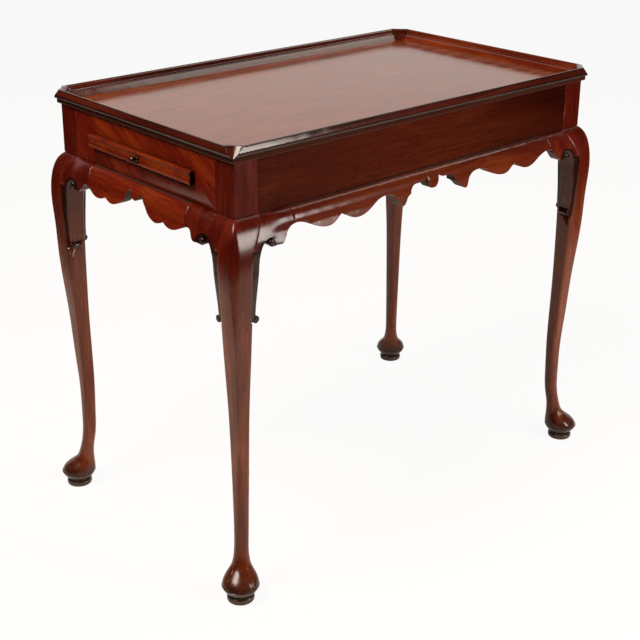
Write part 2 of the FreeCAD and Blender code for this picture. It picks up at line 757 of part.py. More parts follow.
def make_apron_blocks():
    """Blocks glued behind the aprons and under the rails."""
    blocks = []
    half = block_length / 2
    high = (frieze_bottom - block_size, frieze_bottom)
    inner = apron_back + apron_block_thickness
    for place in (-half_length * 0.5, 0.0, half_length * 0.5):
        for side in (-1, 1):
            blocks.append(box((place - half, place + half),
                              (side * (half_width - inner), side * (half_width - apron_back)), high))
    for place in (-half_width * 0.3, half_width * 0.3):
        for side in (-1, 1):
            blocks.append(box((side * (half_length - inner), side * (half_length - apron_back)),
                              (place - half, place + half), high))
    return Part.makeCompound(blocks)


save(make_top_blocks(), "top_glue_blocks")
save(make_apron_blocks(), "apron_glue_blocks")
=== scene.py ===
import math

import bmesh
import bpy
from mathutils import Matrix, Vector


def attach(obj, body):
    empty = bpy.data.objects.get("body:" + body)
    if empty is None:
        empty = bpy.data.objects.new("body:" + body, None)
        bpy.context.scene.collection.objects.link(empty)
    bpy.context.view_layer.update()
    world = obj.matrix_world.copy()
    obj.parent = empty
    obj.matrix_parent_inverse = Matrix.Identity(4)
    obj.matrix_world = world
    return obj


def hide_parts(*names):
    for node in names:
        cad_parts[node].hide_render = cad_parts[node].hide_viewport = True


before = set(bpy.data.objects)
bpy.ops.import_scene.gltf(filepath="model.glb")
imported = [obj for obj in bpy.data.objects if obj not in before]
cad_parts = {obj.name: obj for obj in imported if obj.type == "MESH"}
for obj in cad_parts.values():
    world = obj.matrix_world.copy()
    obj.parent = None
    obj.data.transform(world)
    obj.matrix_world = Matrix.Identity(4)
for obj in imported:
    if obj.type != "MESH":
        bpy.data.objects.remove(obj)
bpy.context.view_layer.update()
scene = bpy.context.scene

# ---------------------------------------------------------------- the studio
# The table stands on a large sheet of white paper that runs up behind it, in an otherwise dark
# studio. Soft panels stand high on the left and right, and in front.


def linear(hex_colour):
    """An sRGB hex colour as linear RGBA."""
    channels = []
    for start in (1, 3, 5):
        value = int(hex_colour[start:start + 2], 16) / 255
        if value <= 0.04045:
            channels.append(value / 12.92)
        else:
            channels.append(((value + 0.055) / 1.055) ** 2.4)
    return (*channels, 1.0)


def add_node(tree, kind, settings=None, inputs=None):
    """Adds a node with its settings; each input takes a value or another node's output."""
    node = tree.nodes.new(kind)
    for name, value in (settings or {}).items():
        setattr(node, name, value)
    for name, value in (inputs or {}).items():
        if isinstance(value, bpy.types.NodeSocket):
            tree.links.new(value, node.inputs[name])
        else:
            node.inputs[name].default_value = value
    return node


def new_material(name):
    """An empty node material and its output node."""
    material = bpy.data.materials.new(name)
    material.use_nodes = True
    material.node_tree.nodes.clear()
    return material, add_node(material.node_tree, "ShaderNodeOutputMaterial")


def rays_met(tree):
    """Outputs for the rays that come from the camera, and for those by way of the polish."""
    ray = add_node(tree, "ShaderNodeLightPath")
    by_polish = add_node(tree, "ShaderNodeMath", {"operation": "MAXIMUM"}, {
        0: ray.outputs["Is Glossy Ray"], 1: ray.outputs["Is Transmission Ray"]})
    return ray.outputs["Is Camera Ray"], by_polish.outputs[0]


white = linear("#FFFFFF")
paper_colour = linear("#E8DCCC")
mirrored_paper = linear("#FFFAF4")
studio_dark = linear("#3A3938")
# The level way from the table to the middle of the paper backdrop, and the cosines of the angles off
# it at which the backdrop begins to show and shows in full.
backdrop_way = (0.67, 0.74, 0.0)
backdrop_begins = 0.45
backdrop_full = 0.75

world = bpy.data.worlds.new("studio_room")
world.use_nodes = True
tree = world.node_tree
tree.nodes.clear()
from_camera, by_polish = rays_met(tree)
direction = add_node(tree, "ShaderNodeTexCoord")
towards_backdrop = add_node(tree, "ShaderNodeVectorMath", {"operation": "DOT_PRODUCT"}, {
    0: direction.outputs["Generated"], 1: backdrop_way})
backdrop_edge = add_node(tree, "ShaderNodeMapRange", {"interpolation_type": "SMOOTHSTEP"}, {
    "Value": towards_backdrop.outputs["Value"],
    "From Min": backdrop_begins, "From Max": backdrop_full})
backdrop_mirrored = add_node(tree, "ShaderNodeMath", {"operation": "MULTIPLY"}, {
    0: by_polish, 1: backdrop_edge.outputs[0]})
backdrop_seen = add_node(tree, "ShaderNodeMath", {"operation": "MAXIMUM"}, {
    0: from_camera, 1: backdrop_mirrored.outputs[0]})
room = add_node(tree, "ShaderNodeBackground", None, {"Color": studio_dark, "Strength": 1.0})
backdrop_colour = add_node(tree, "ShaderNodeMix", {"data_type": "RGBA"}, {
    "Factor": by_polish, 6: white, 7: mirrored_paper})
backdrop = add_node(tree, "ShaderNodeBackground", None, {
    "Color": backdrop_colour.outputs[2], "Strength": 1.0})
room_and_backdrop = add_node(tree, "ShaderNodeMixShader", None, {
    0: backdrop_seen.outputs[0], 1: room.outputs[0], 2: backdrop.outputs[0]})
add_node(tree, "ShaderNodeOutputWorld", None, {"Surface": room_and_backdrop.outputs[0]})
scene.world = world

floor_half = 6.0
floor_mesh = bpy.data.meshes.new("studio_floor")
floor_bm = bmesh.new()
bmesh.ops.create_grid(floor_bm, x_segments=1, y_segments=1, size=floor_half)
floor_bm.to_mesh(floor_mesh)
floor_bm.free()
floor = bpy.data.objects.new("studio_floor", floor_mesh)
scene.collection.objects.link(floor)

# Paper out to about a metre, matt and just off white, and the dark studio floor beyond it. Seen
# straight, the paper is nearly pure white and keeps the table's shadow. In the polish it is less so.
paper_kept = 1.10
paper_gone = 1.40
straight_glow = 0.93
polish_glow = 0.35
paper_floor, floor_output = new_material("paper_on_studio_floor")
tree = paper_floor.node_tree
from_camera, by_polish = rays_met(tree)
place = add_node(tree, "ShaderNodeTexCoord")
out_from_table = add_node(tree, "ShaderNodeVectorMath", {"operation": "LENGTH"}, {
    0: place.outputs["Object"]})
paper_left = add_node(tree, "ShaderNodeMapRange", {"interpolation_type": "SMOOTHSTEP"}, {
    "Value": out_from_table.outputs["Value"], "From Min": paper_kept, "From Max": paper_gone,
    "To Min": 1.0, "To Max": 0.0})
paper = add_node(tree, "ShaderNodeBsdfDiffuse", None, {"Color": paper_colour})
boards = add_node(tree, "ShaderNodeBsdfDiffuse", None, {"Color": studio_dark})
ground = add_node(tree, "ShaderNodeMixShader", None, {
    0: paper_left.outputs[0], 1: boards.outputs[0], 2: paper.outputs[0]})
glow = add_node(tree, "ShaderNodeEmission", None, {"Color": white, "Strength": 1.0})
white_paper = add_node(tree, "ShaderNodeMixShader", None, {
    0: straight_glow, 1: paper.outputs[0], 2: glow.outputs[0]})
whitened = add_node(tree, "ShaderNodeMath", {"operation": "MULTIPLY"}, {0: by_polish, 1: polish_glow})
paper_mirrored = add_node(tree, "ShaderNodeMath", {"operation": "MULTIPLY"}, {
    0: whitened.outputs[0], 1: paper_left.outputs[0]})
paper_seen = add_node(tree, "ShaderNodeMath", {"operation": "MAXIMUM"}, {
    0: from_camera, 1: paper_mirrored.outputs[0]})
floor_shader = add_node(tree, "ShaderNodeMixShader", None, {
    0: paper_seen.outputs[0], 1: ground.outputs[0], 2: white_paper.outputs[0]})
tree.links.new(floor_shader.outputs[0], floor_output.inputs["Surface"])
floor_mesh.materials.append(paper_floor)


def add_panel(name, place, aim, width, height, power, colour, mirrored=True):
    """A soft light panel at a place, turned to face its aim; mirrored where the polish shows it."""
    light = bpy.data.lights.new(name, "AREA")
    light.shape = "RECTANGLE"
    light.size = width
    light.size_y = height
    light.energy = power
    light.color = linear(colour)[:3]
    panel = bpy.data.objects.new(name, light)
    panel.location = place
    panel.rotation_euler = (Vector(place) - Vector(aim)).to_track_quat("Z", "Y").to_euler()
    panel.visible_glossy = mirrored
    scene.collection.objects.link(panel)


add_panel("panel_high_left", (-1.62, 0.05, 2.50), (0, 0, 0.5), 1.1, 1.1, 92, "#FFF0E0")
add_panel("panel_front_right", (0.72, -1.80, 0.85), (-0.3, -0.2, 0.5), 0.45, 0.8, 20, "#FFFAF2")
add_panel("panel_high_right", (1.55, 0.00, 2.55), (0, 0, 0.7), 1.2, 1.2, 20, "#FFF4E8")
add_panel("panel_front_fill", (0.90, -2.55, 1.20), (0, 0, 0.4), 1.8, 1.8, 52, "#FFF4E8",
          mirrored=False)

# The camera's place, and how it is turned: round the table from the front, up from level, and rolled.
camera_place = (-1.343399, -1.461613, 1.140270)
azimuth = math.radians(-42.1034)
elevation = math.radians(21.4377)
roll = math.radians(0.3986)

camera_data = bpy.data.cameras.new("camera")
camera_data.sensor_width = 36.0
camera_data.lens = 71.7286
camera_data.shift_y = -0.08125
camera = bpy.data.objects.new("camera", camera_data)
back = Vector((math.sin(azimuth) * math.cos(elevation), -math.cos(azimuth) * math.cos(elevation),
               math.sin(elevation)))
level = (-back).cross(Vector((0, 0, 1))).normalized()
upright = level.cross(-back)
right = level * math.cos(roll) + upright * math.sin(roll)
up = upright * math.cos(roll) - level * math.sin(roll)
camera_turn = Matrix((right, up, back)).transposed().to_4x4()
camera.matrix_world = Matrix.Translation(camera_place) @ camera_turn
scene.collection.objects.link(camera)
scene.camera = camera
scene.view_settings.view_transform = "Standard"


# ---------------------------------------------------------------- the tray's board
# One wide, thin mahogany board, planed, scraped and polished with many thin coats of shellac. It
# is glued down on the frieze and carries the rim.


def scraped_wood(name, grain_axis, dark, middle, light, ribbon_mm, figure=0.0, roughness=0.16,
                 contrast=1.0, wave=0.35, wax_and_shade=0.95, turn=(0.0, 0.0, 0.0)):
    """Wood scraped smooth, with fine dark pores along the grain and ribbons of lighter wood. Under
    shellac its gloss is deep and clear; left raw, its roughness is high. Figure goes from 0, plain,
    to 1, strongly flamed."""
    material, output = new_material(name)
    tree = material.node_tree
    place = add_node(tree, "ShaderNodeTexCoord")
    turned = add_node(tree, "ShaderNodeMapping", None, {
        "Vector": place.outputs["Object"], "Rotation": turn})

    # A slow drift, so that no line of the grain runs dead straight.
    drift = add_node(tree, "ShaderNodeTexNoise", None, {
        "Vector": turned.outputs[0], "Scale": 1 / 0.16, "Detail": 2.0})
    drift_middle = add_node(tree, "ShaderNodeVectorMath", {"operation": "SUBTRACT"}, {
        0: drift.outputs["Color"], 1: (0.5, 0.5, 0.5)})
    drift_size = add_node(tree, "ShaderNodeVectorMath", {"operation": "SCALE"}, {
        0: drift_middle.outputs[0], "Scale": 0.014 + 0.03 * figure})
    bent = add_node(tree, "ShaderNodeVectorMath", {"operation": "ADD"}, {
        0: turned.outputs[0], 1: drift_size.outputs[0]})

    # Fibres 3.5 mm across and some 90 mm long.
    along = [1.0, 1.0, 1.0]
    along[grain_axis] = 0.04
    fibre_place = add_node(tree, "ShaderNodeMapping", None, {
        "Vector": bent.outputs[0], "Scale": along})
    fibre = add_node(tree, "ShaderNodeTexNoise", None, {
        "Vector": fibre_place.outputs[0], "Scale": 1 / 0.0035, "Detail": 4.0, "Roughness": 0.6})

    along[grain_axis] = 0.10 + 0.35 * figure
    ribbon_place = add_node(tree, "ShaderNodeMapping", None, {
        "Vector": bent.outputs[0], "Scale": along})
    ribbon = add_node(tree, "ShaderNodeTexNoise", None, {
        "Vector": ribbon_place.outputs[0], "Scale": 1000 / ribbon_mm, "Detail": 3.0,
        "Distortion": 0.3 + 0.9 * figure})

    # Pores are about 0.2 mm wide; they are drawn 1.1 mm apart so that they show.
    along[grain_axis] = 0.07
    pore_place = add_node(tree, "ShaderNodeMapping", None, {
        "Vector": bent.outputs[0], "Scale": along})
    pore = add_node(tree, "ShaderNodeTexNoise", None, {
        "Vector": pore_place.outputs[0], "Scale": 1 / 0.0011, "Detail": 1.0})
    pore_mask = add_node(tree, "ShaderNodeMapRange", None, {
        "Value": pore.outputs["Fac"], "From Min": 0.60, "From Max": 0.74})

    fibre_part = add_node(tree, "ShaderNodeMath", {"operation": "MULTIPLY"}, {
        0: fibre.outputs["Fac"], 1: 0.34})
    tone = add_node(tree, "ShaderNodeMath", {"operation": "MULTIPLY_ADD"}, {
        0: ribbon.outputs["Fac"], 1: 0.66, 2: fibre_part.outputs[0]})
    ramp = add_node(tree, "ShaderNodeValToRGB", None, {"Fac": tone.outputs[0]})
    ramp.color_ramp.elements[0].position = 0.50 - 0.15 / contrast
    ramp.color_ramp.elements[0].color = linear(dark)
    ramp.color_ramp.elements[1].position = 0.50 + 0.15 / contrast
    ramp.color_ramp.elements[1].color = linear(light)
    ramp.color_ramp.elements.new(0.50).color = linear(middle)
    pored = add_node(tree, "ShaderNodeMix", {"data_type": "RGBA", "blend_type": "MULTIPLY"}, {
        "Factor": pore_mask.outputs[0], 6: ramp.outputs["Color"], 7: linear("#A08070")})

    # Dark old polish and wax packed into the quirks, with painted shade there too, and painted shade
    # alone thinning out for 20 mm round them.
    quirk = add_node(tree, "ShaderNodeAmbientOcclusion", {"samples": 8}, {"Distance": 0.006})
    quirk_wax_and_shade_mask = add_node(tree, "ShaderNodeMapRange", None, {
        "Value": quirk.outputs["AO"], "From Min": 0.35, "From Max": 0.85,
        "To Min": wax_and_shade, "To Max": 0.0})
    shade_around = add_node(tree, "ShaderNodeAmbientOcclusion", {"samples": 8}, {"Distance": 0.022})
    painted_shade_around_mask = add_node(tree, "ShaderNodeMapRange", None, {
        "Value": shade_around.outputs["AO"], "From Min": 0.2, "From Max": 0.9,
        "To Min": 0.55, "To Max": 0.0})
    wax_and_shade_mask = add_node(tree, "ShaderNodeMath", {"operation": "MAXIMUM"}, {
        0: quirk_wax_and_shade_mask.outputs[0], 1: painted_shade_around_mask.outputs[0]})
    waxed_and_shaded = add_node(tree, "ShaderNodeMix", {"data_type": "RGBA", "blend_type": "MIX"}, {
        "Factor": wax_and_shade_mask.outputs[0], 6: pored.outputs[2], 7: linear("#120403")})

    gloss_wear = add_node(tree, "ShaderNodeMapRange", None, {
        "Value": ribbon.outputs["Fac"], "From Min": 0.3, "From Max": 0.7,
        "To Min": roughness - 0.03, "To Max": roughness + 0.05})
    # The scraper leaves shallow waves some 25 mm long, which the gloss shows, and the pores sink in.
    waves = add_node(tree, "ShaderNodeTexNoise", None, {
        "Vector": place.outputs["Object"], "Scale": 1 / 0.025, "Detail": 0.0})
    scraped = add_node(tree, "ShaderNodeBump", None, {
        "Height": waves.outputs["Fac"], "Strength": wave, "Distance": 0.0012})
    dent = add_node(tree, "ShaderNodeBump", None, {
        "Height": pore.outputs["Fac"], "Strength": 0.06, "Distance": 0.0003,
        "Normal": scraped.outputs[0]})
    shader = add_node(tree, "ShaderNodeBsdfPrincipled", None, {
        "Base Color": waxed_and_shaded.outputs[2], "Roughness": gloss_wear.outputs[0], "IOR": 1.4,
        "Normal": dent.outputs[0]})
    tree.links.new(shader.outputs[0], output.inputs["Surface"])
    return material


def wood_in(material):
    """A wood material's node tree, its shader, and the output that colours the wood so far."""
    tree = material.node_tree
    shader = next(node for node in tree.nodes if node.type == "BSDF_PRINCIPLED")
    return tree, shader, shader.inputs["Base Color"].links[0].from_socket


def darken_facing(material, axis, low, high, colour, either_way=False, roughness=None):
    """Another colour where the surface faces along an axis, or either way along it: none at low,
    full at high. With a roughness, it is unpolished there."""
    tree, shader, wood = wood_in(material)
    place = add_node(tree, "ShaderNodeTexCoord")
    facing = add_node(tree, "ShaderNodeSeparateXYZ", None, {0: place.outputs["Normal"]})
    amount = facing.outputs[axis]
    if either_way:
        amount = add_node(tree, "ShaderNodeMath", {"operation": "ABSOLUTE"}, {0: amount}).outputs[0]
    mask = add_node(tree, "ShaderNodeMapRange", None, {
        "Value": amount, "From Min": low, "From Max": high})
    darkened = add_node(tree, "ShaderNodeMix", {"data_type": "RGBA", "blend_type": "MIX"}, {
        "Factor": mask.outputs[0], 6: wood, 7: linear(colour)})
    tree.links.new(darkened.outputs[2], shader.inputs["Base Color"])
    if roughness is not None:
        gloss = shader.inputs["Roughness"].links[0].from_socket
        dulled = add_node(tree, "ShaderNodeMix", {"data_type": "FLOAT"}, {
            "Factor": mask.outputs[0], 2: gloss, 3: roughness})
        tree.links.new(dulled.outputs[0], shader.inputs["Roughness"])


def tint_along(material, axis, steps):
    """Changes the wood's colour along an axis: each step has a blend mode, a colour, where along the
    axis in metres it starts and where it has its full share, and that share."""
    tree, shader, wood = wood_in(material)
    place = add_node(tree, "ShaderNodeTexCoord")
    way = add_node(tree, "ShaderNodeSeparateXYZ", None, {0: place.outputs["Object"]})
    for mode, colour, start, end, share in steps:
        mask = add_node(tree, "ShaderNodeMapRange", {"interpolation_type": "SMOOTHSTEP"}, {
            "Value": way.outputs[axis], "From Min": start, "From Max": end, "To Max": share})
        mixed = add_node(tree, "ShaderNodeMix", {"data_type": "RGBA", "blend_type": mode}, {
            "Factor": mask.outputs[0], 6: wood, 7: linear(colour)})
        wood = mixed.outputs[2]
    tree.links.new(wood, shader.inputs["Base Color"])


def finish_nodes(material, *names):
    """Gives CAD nodes this finish."""
    for name in names:
        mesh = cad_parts[name].data
        mesh.materials.clear()
        mesh.materials.append(material)


# The flattest and glossiest of the woods: it mirrors its surroundings over a close, even grain. Its
# edges and its underside are painted darker, as painted shade under the rim.
tray_wood = scraped_wood("mahogany_tray_board", 0, "#54240E", "#662C10", "#7A3A1A", 9.0,
                         roughness=0.13, wave=0.06)
# Painted shade on the board's edges and underside, which lie under the rim.
darken_facing(tray_wood, "Z", 0.95, 0.5, "#361810")
finish_nodes(tray_wood, "top_board")


# ---------------------------------------------------------------- the rim
# Mahogany mouldings worked with hollow and round planes, mitred and glued round the board to make
# it a tray. The four short corner pieces are hollowed outside. Handling has eased every arris.

corners = [y + "_" + x for y in ("front", "back") for x in ("left", "right")]
tray_floor = 0.6685
rim_ease = 0.0004
corner_ease = 0.00025
# What counts as a sharp edge, and how near a surface a point still lies on it.
sharp_angle = math.radians(32)
near = 0.0001


def eased_copy(node_name, ease, material, is_worn, body="table"):
    """A piece that stands for a CAD node, with those edges eased, in metres, that is_worn picks."""
    bm = bmesh.new()
    bm.from_mesh(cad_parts[node_name].data)
    bmesh.ops.remove_doubles(bm, verts=bm.verts, dist=1e-5)
    level = math.radians(0.05)
    bmesh.ops.dissolve_limit(bm, angle_limit=level, verts=bm.verts, edges=bm.edges)
    weight = bm.edges.layers.float.new("bevel_weight_edge")
    for edge in bm.edges:
        sharp = edge.is_manifold and edge.calc_face_angle() > sharp_angle
        edge[weight] = 1.0 if sharp and is_worn(edge) else 0.0
    for face in bm.faces:
        face.smooth = True
        face.material_index = 0
    mesh = bpy.data.meshes.new(node_name + "_eased")
    bm.to_mesh(mesh)
    bm.free()
    mesh.set_sharp_from_angle(angle=sharp_angle)
    mesh.materials.append(material)
    piece = bpy.data.objects.new(node_name + "_eased", mesh)
    scene.collection.objects.link(piece)
    easing = piece.modifiers.new("eased_edges", "BEVEL")
    easing.width = ease
    easing.segments = 2
    easing.limit_method = "WEIGHT"
    easing.use_clamp_overlap = False
    easing.harden_normals = True
    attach(piece, body)
    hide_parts(node_name)


def on_a_mitre(face):
    """Whether a face lies in a mitre of the rim, 22.5 degrees off square to the table's sides."""
    across = math.sin(math.pi / 8)
    along = math.cos(math.pi / 8)
    same = 0.002
    return any(abs(abs(face.normal.x) - x) < same and abs(abs(face.normal.y) - y) < same
               for x, y in ((across, along), (along, across)))


def rim_is_worn(edge):
    """Every edge of the rim but those on the board and those of the mitres."""
    if all(vert.co.z < tray_floor + near for vert in edge.verts):
        return False
    return not any(on_a_mitre(face) for face in edge.link_faces)


# Dark brown with a fine grain, and painted nearly black underneath as painted shade. The moulding at
# the right is a lighter copy of the end moulding, painted light because its inner face is the one seen
# lit.
long_rim_wood = scraped_wood("mahogany_long_rim_moulding", 0, "#280A04", "#380F06", "#4C190A", 20.0)
end_rim_wood = scraped_wood("mahogany_end_rim_moulding", 1, "#280A04", "#380F06", "#4C190A", 20.0)
# A lighter copy for the right end: painted light on the inner face that is seen.
lit_end_rim_wood = scraped_wood("mahogany_end_rim_moulding_painted_lit", 1, "#3E1206", "#5A1C09", "#74300F",
                               20.0)
for wood in (long_rim_wood, end_rim_wood, lit_end_rim_wood):
    # Painted shade: nearly black where the moulding faces down.
    darken_facing(wood, "Z", 0.1, -0.4, "#140504")
for name in ("rim_front", "rim_back"):
    eased_copy(name, rim_ease, long_rim_wood, rim_is_worn)
eased_copy("rim_left", rim_ease, end_rim_wood, rim_is_worn)
for corner in corners:
    eased_copy("rim_corner_" + corner, corner_ease, end_rim_wood, rim_is_worn)
eased_copy("rim_right", rim_ease, lit_end_rim_wood, rim_is_worn)


# ---------------------------------------------------------------- the frieze rails
# Solid mahogany rails tenoned into the leg posts. The end rails are cut from flamed stock, and the
# long rails from plainer, browner wood. Each end rail is slotted for its candle slide.

frieze_bottom = 0.586
half_length = 0.365
half_width = 0.211
rail_ease = 0.0005


def on_frieze_face(edge):
    """Whether an edge lies in the outer faces of the frieze, which rails and posts share."""
    return all(abs(vert.co.x) > half_length - near or abs(vert.co.y) > half_width - near
               for vert in edge.verts)


def rail_is_worn(edge):
    """The outer lower arris, along the black quirk above the aprons."""
    return on_frieze_face(edge) and all(vert.co.z < frieze_bottom + near for vert in edge.verts)


# The long rails have a broad, plain figure, and painted shade darkens them to the right. The flames of
# the end rails slant by 35 degrees.
long_rail_wood = scraped_wood("mahogany_long_rail", 0, "#300C03", "#401204", "#562008", 80.0,
                              figure=0.25, wave=0.15)
end_rail_wood = scraped_wood("mahogany_flamed_end_rail", 1, "#480C03", "#5C1505", "#7C2C0C", 60.0,
                             figure=0.25, contrast=1.1, wave=0.15,
                             turn=(math.radians(-35), 0.0, 0.0))
# Painted shade: the long rails darken towards the right end.
tint_along(long_rail_wood, "X", (("MULTIPLY", "#A89088", -0.05, 0.34, 1.0),))
for name in ("rail_front", "rail_back"):
    eased_copy(name, rail_ease, long_rail_wood, rail_is_worn)
for name in ("rail_left", "rail_right"):
    eased_copy(name, rail_ease, end_rail_wood, rail_is_worn)


# ---------------------------------------------------------------- the aprons
# Shaped and scalloped mahogany aprons, bow-fronted with a hollow plane and sawn to their outline,
# glued up under the rails. Their sawn lower edges are unpolished wood, painted darker as painted
# shade.

apron_ease = 0.0006
bracket_reach = 0.090


def apron_is_worn(edge):
    """Every edge but those against the rail and those against the brackets."""
    if all(vert.co.z > frieze_bottom - near for vert in edge.verts):
        return False
    return not all(abs(vert.co.x) > half_length - bracket_reach - near
                   and abs(vert.co.y) > half_width - bracket_reach - near for vert in edge.verts)


# Where the wood faces down or sideways it was only sawn and is dull; it is also painted a darker brown
# there, as painted shade.
long_apron_wood = scraped_wood("mahogany_long_apron", 0, "#3A0F05", "#4A1607", "#5E240B", 50.0,
                               figure=0.2)
end_apron_wood = scraped_wood("mahogany_end_apron", 1, "#440D03", "#5A1505", "#72280B", 60.0,
                              figure=0.4)
darken_facing(long_apron_wood, "Y", 0.45, 0.25, "#341A10", either_way=True, roughness=0.6)
darken_facing(end_apron_wood, "X", 0.45, 0.25, "#2C140C", either_way=True, roughness=0.6)
for name in ("apron_front", "apron_back"):
    eased_copy(name, apron_ease, long_apron_wood, apron_is_worn)
for name in ("apron_left", "apron_right"):
    eased_copy(name, apron_ease, end_apron_wood, apron_is_worn)


# ---------------------------------------------------------------- the legs
# Cabriole legs, each bandsawn and spokeshaved from one mahogany blank whose square top is the
# corner post, with a turned pad foot. The front arris runs crisp down the shank.

leg_ease = 0.0005
leg_wood_colours = ("#441607", "#5A240E", "#72381A")
# The knee and post keep their deep red; the shank has faded browner; the foot is dark with dirt from
# the floor, and its disc is scuffed grey.
leg_fading = (("MULTIPLY", "#C67C70", 0.36, 0.56, 1.0), ("MIX", "#1C0B08", 0.060, 0.022, 0.9),
              ("MIX", "#4A3A34", 0.0095, 0.0085, 0.7))


def post_is_worn(edge):
    """The post's outer arris and its lower ones, along the black quirk above the knee."""
    return on_frieze_face(edge) and all(vert.co.z > frieze_bottom - near for vert in edge.verts)


def leg_mahogany(name):
    """The legs' wood, plain, upright in its grain, and less glossy than the frame's."""
    # Less of the painted shade and old wax in the quirks than the frame's.
    wood = scraped_wood(name, 2, *leg_wood_colours, 24.0, figure=0.1, roughness=0.22, wax_and_shade=0.5)
    tint_along(wood, "Z", leg_fading)
    return wood


leg_wood = leg_mahogany("mahogany_leg")
for corner in corners:
    eased_copy("leg_" + corner, leg_ease, leg_wood, post_is_worn)


# ---------------------------------------------------------------- the knee brackets
# Carved mahogany brackets glued into the flats beside each knee. Each carries a scroll with a
# carved eye at its arch, and a narrow band that lies back from the leg and ends in a small roll.

bracket_ease = 0.0006
# The scroll's arch is near enough part of a circle: how far its middle stands from the frieze
# corner, how far below the frieze, and the radius of the band's upper edge. The band runs on down the
# leg from band_top below the frieze.
arch_middle = (0.046, 0.0488)
arch_band_radius = 0.0205
band_top = 0.047
band_edge_blur = 0.0004
band_top_blur = 0.002


def paint_band_shade(material, along_axis, half_reach, outward_axis):
    """Painted shade, with some old dark polish, on the outward face of the band and the scroll, which
    lie back in the leg's shadow.
    """
    tree, shader, wood = wood_in(material)
    place = add_node(tree, "ShaderNodeTexCoord")
    way = add_node(tree, "ShaderNodeSeparateXYZ", None, {0: place.outputs["Object"]})
    reach = add_node(tree, "ShaderNodeMath", {"operation": "ABSOLUTE"}, {0: way.outputs[along_axis]})
    beside = add_node(tree, "ShaderNodeMath", {"operation": "SUBTRACT"}, {
        0: half_reach - arch_middle[0], 1: reach.outputs[0]})
    below = add_node(tree, "ShaderNodeMath", {"operation": "SUBTRACT"}, {
        0: frieze_bottom - arch_middle[1], 1: way.outputs["Z"]})
    from_middle = add_node(tree, "ShaderNodeCombineXYZ", None, {
        0: beside.outputs[0], 1: below.outputs[0]})
    radius = add_node(tree, "ShaderNodeVectorMath", {"operation": "LENGTH"}, {
        0: from_middle.outputs[0]})
    in_arch = add_node(tree, "ShaderNodeMapRange", None, {
        "Value": radius.outputs["Value"], "From Min": arch_band_radius - band_edge_blur,
        "From Max": arch_band_radius + band_edge_blur, "To Min": 1.0, "To Max": 0.0})
    down_leg = add_node(tree, "ShaderNodeMapRange", None, {
        "Value": below.outputs[0], "From Min": band_top - arch_middle[1] - band_top_blur,
        "From Max": band_top - arch_middle[1]})
    band = add_node(tree, "ShaderNodeMath", {"operation": "MAXIMUM"}, {
        0: in_arch.outputs[0], 1: down_leg.outputs[0]})
    facing = add_node(tree, "ShaderNodeSeparateXYZ", None, {0: place.outputs["Normal"]})
    squarely = add_node(tree, "ShaderNodeMath", {"operation": "ABSOLUTE"}, {
        0: facing.outputs[outward_axis]})
    outward = add_node(tree, "ShaderNodeMapRange", None, {
        "Value": squarely.outputs[0], "From Min": 0.80, "From Max": 0.90})
    band_shade_part = add_node(tree, "ShaderNodeMath", {"operation": "MULTIPLY"}, {
        0: band.outputs[0], 1: outward.outputs[0]})
    darkened = add_node(tree, "ShaderNodeMix", {"data_type": "RGBA", "blend_type": "MIX"}, {
        "Factor": band_shade_part.outputs[0], 6: wood, 7: linear("#1A0804")})
    tree.links.new(darkened.outputs[2], shader.inputs["Base Color"])


def bracket_is_worn(edge, along, reach):
    """The outward edges of the sawn outline, but none against the rail, the apron or the leg. The
    bracket runs along this axis, 0 or 1, from a frieze corner that lies at reach on it."""
    side = math.copysign(1, edge.verts[0].co[along])
    if all(vert.co.z > frieze_bottom - near for vert in edge.verts):
        return False
    if all(abs(vert.co[along]) < reach - bracket_reach + 2 * near for vert in edge.verts):
        return False
    normals = [face.normal for face in edge.link_faces]
    out = 1 - along
    outward = any(abs(normal[out]) > 0.6 and normal[out] * edge.verts[0].co[out] > 0
                  for normal in normals)
    sawn = any(normal.z < -0.4 or -side * normal[along] > 0.6 for normal in normals)
    return outward and sawn


def long_is_worn(edge):
    """The worn edges of a bracket on a long side."""
    return bracket_is_worn(edge, 0, half_length)


def end_is_worn(edge):
    """The worn edges of a bracket at an end."""
    return bracket_is_worn(edge, 1, half_width)


long_bracket_wood = leg_mahogany("mahogany_long_knee_bracket")
end_bracket_wood = leg_mahogany("mahogany_end_knee_bracket")
# Painted shade on the outward faces of the band, which lie back behind the leg.
paint_band_shade(long_bracket_wood, "X", half_length, "Y")
paint_band_shade(end_bracket_wood, "Y", half_width, "X")
for corner in corners:
    eased_copy("knee_bracket_" + corner + "_long", bracket_ease, long_bracket_wood, long_is_worn)
    eased_copy("knee_bracket_" + corner + "_end", bracket_ease, end_bracket_wood, end_is_worn)

# The carved eye of each scroll: a low boss cut into a spiral of one and a half turns. Its profile is
# in millimetres, out from the middle and up. Its place is inwards from the frieze corner, down from
# the frieze and out from its face.
eye_profile = ((0.0, 2.3), (0.9, 2.2), (1.8, 1.9), (2.7, 1.8), (3.6, 1.7), (4.5, 1.4), (5.2, 0.8),
               (5.5, 0.0), (5.5, -2.5))
eye_place = (0.0485, 0.0392, 0.0188)
spiral_pitch = 0.0030
spiral_cut = 0.00055
spiral_start = 0.0005
spiral_end = 0.0052
spiral_fade = 0.001

